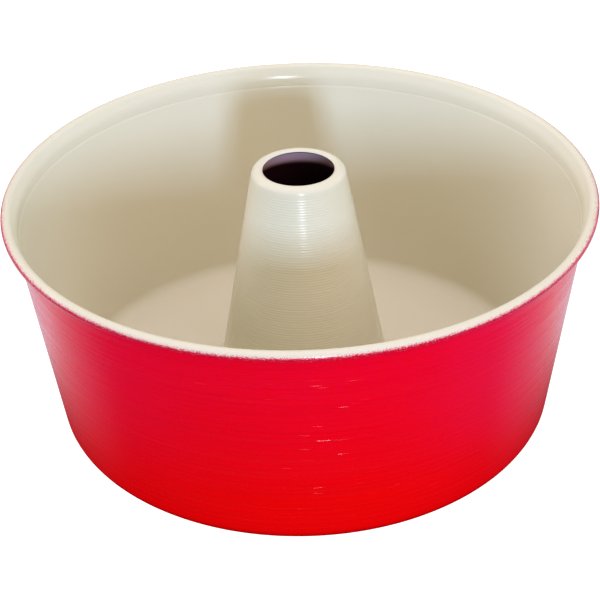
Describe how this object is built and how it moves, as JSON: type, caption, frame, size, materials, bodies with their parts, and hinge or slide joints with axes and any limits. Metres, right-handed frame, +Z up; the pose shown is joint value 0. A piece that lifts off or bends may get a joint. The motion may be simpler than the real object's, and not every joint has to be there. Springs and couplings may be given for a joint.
{
  "type": "tube cake pan",
  "caption": "Round bundt-style tube cake pan with tapered wall, rolled rim and an open conical centre tube.",
  "frame": {"origin": "centre of the standing ring, on the surface the pan stands on", "axes": "+Z up along the pan's and the tube's common axis; X and Y are equivalent"},
  "size_m": [0.24, 0.24, 0.1087],
  "materials": {
    "bare_aluminium": "turned, satin",
    "tube_aluminium": "spun, satin",
    "cream_lining": "satin non-stick coat",
    "tube_cream_lining": "satin non-stick coat over lathe lines",
    "red_coat": "semi-gloss heat-resistant coat over spin lines",
    "base_red_coat": "semi-gloss heat-resistant coat",
    "tube_red_coat": "dull dark coat"
  },
  "bodies": {
    "root": {"pan_body": "bare_aluminium", "center_tube": "tube_aluminium", "pan_lining": "cream_lining", "tube_lining": "tube_cream_lining", "wall_coat": "red_coat", "base_coat": "base_red_coat", "tube_coat": "tube_red_coat"}
  },
  "joints": []
}
